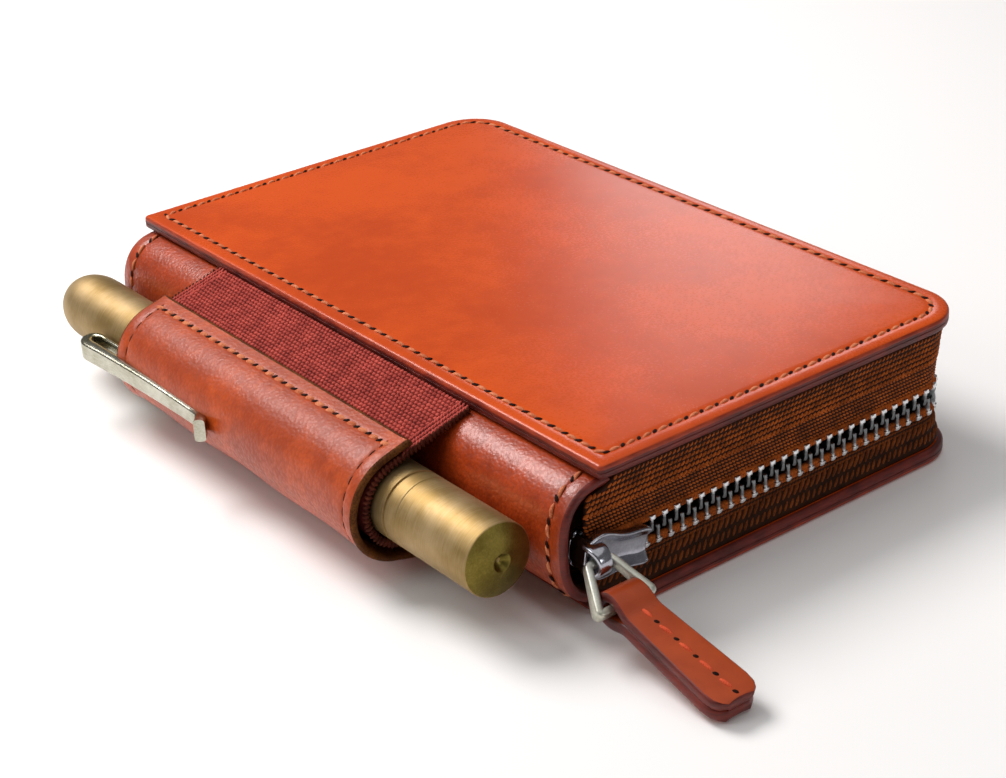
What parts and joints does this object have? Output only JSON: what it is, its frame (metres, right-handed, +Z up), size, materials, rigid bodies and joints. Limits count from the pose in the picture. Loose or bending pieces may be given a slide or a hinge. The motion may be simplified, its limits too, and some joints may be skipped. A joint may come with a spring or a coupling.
{
  "type": "fountain pen case",
  "caption": "Zip-around leather pen case with two stiff covers, a rounded spine, an elastic and leather sleeve holding a brass fountain pen, and a leather pull tab.",
  "frame": {"origin": "the middle of the back cover's outer face, which the case lies on", "axes": "+X from the spine to the fore-edge, +Y along the spine away from the slider's end, +Z up through the closed case"},
  "size_m": [0.1075, 0.1721, 0.0272],
  "materials": {
    "cognac_leather": "smooth vegetable-tanned leather, burnished and waxed",
    "sleeve_leather": "soft leather with a fine pebbled grain",
    "lining_suede": "split leather lining, matt",
    "stiffener_board": "grey fibre board",
    "elastic_webbing": "woven elastic band, burgundy",
    "zip_tape": "woven tape, chestnut brown",
    "zip_metal": "polished nickel plate",
    "brass": "satin brushed brass, slightly tarnished",
    "clip_steel": "polished spring steel",
    "black_plastic": "black resin"
  },
  "bodies": {
    "back": {"back_cover_leather": "cognac_leather", "back_board": "stiffener_board", "back_lining": "lining_suede", "zip_tape_back": "zip_tape", "zip_chain_back": "zip_metal", "zip_bottom_stop": "zip_metal", "inner_pen_loops": "elastic_webbing"},
    "spine": {"spine_leather": "sleeve_leather", "spine_lining": "lining_suede", "pen_sleeve_webbing": "elastic_webbing", "pen_sleeve_leather": "sleeve_leather"},
    "front": {"front_cover_leather": "cognac_leather", "front_board": "stiffener_board", "front_lining": "lining_suede", "zip_tape_front": "zip_tape", "zip_chain_front": "zip_metal", "slip_pocket": "lining_suede"},
    "slider": {"slider_body": "zip_metal", "slider_crown": "zip_metal"},
    "link": {"pull_link": "clip_steel"},
    "tab": {"pull_tab": "cognac_leather"},
    "pen": {"pen_barrel": "brass", "pen_section": "black_plastic", "pen_feed": "black_plastic", "pen_nib": "clip_steel", "pen_converter": "black_plastic"},
    "cap": {"pen_cap": "brass"},
    "clip": {"pen_clip": "clip_steel"}
  },
  "joints": [
    {"name": "spine_fold", "type": "hinge", "parent": "back", "child": "spine", "pos_m": [-0.04085, 0, 0.0016], "axis": [0, -1, 0], "range_deg": [0, 90]},
    {"name": "front_fold", "type": "hinge", "parent": "spine", "child": "front", "pos_m": [-0.04085, 0, 0.0256], "axis": [0, -1, 0], "range_deg": [0, 90]},
    {"name": "zip_slide", "type": "slide", "parent": "back", "child": "slider", "axis": [1, 0, 0], "range_m": [0, 0.06]},
    {"name": "link_swing", "type": "hinge", "parent": "slider", "child": "link", "pos_m": [-0.0428, -0.06942, 0.0124], "axis": [1, 0, 0], "range_deg": [-90, 25]},
    {"name": "tab_swing", "type": "hinge", "parent": "link", "child": "tab", "pos_m": [-0.0428, -0.07533, 0.00778], "axis": [1, 0, 0], "range_deg": [-35, 60]},
    {"name": "pen_slide", "type": "slide", "parent": "spine", "child": "pen", "axis": [0, 1, 0], "range_m": [0, 0.105]},
    {"name": "cap_pull", "type": "slide", "parent": "pen", "child": "cap", "axis": [0, 1, 0], "range_m": [0, 0.05]},
    {"name": "clip_flex", "type": "hinge", "parent": "cap", "child": "clip", "pos_m": [-0.0634, 0.0475, 0.0136], "axis": [0, 0, -1], "range_deg": [0, 5], "stiffness_Nm_per_rad": 3}
  ]
}
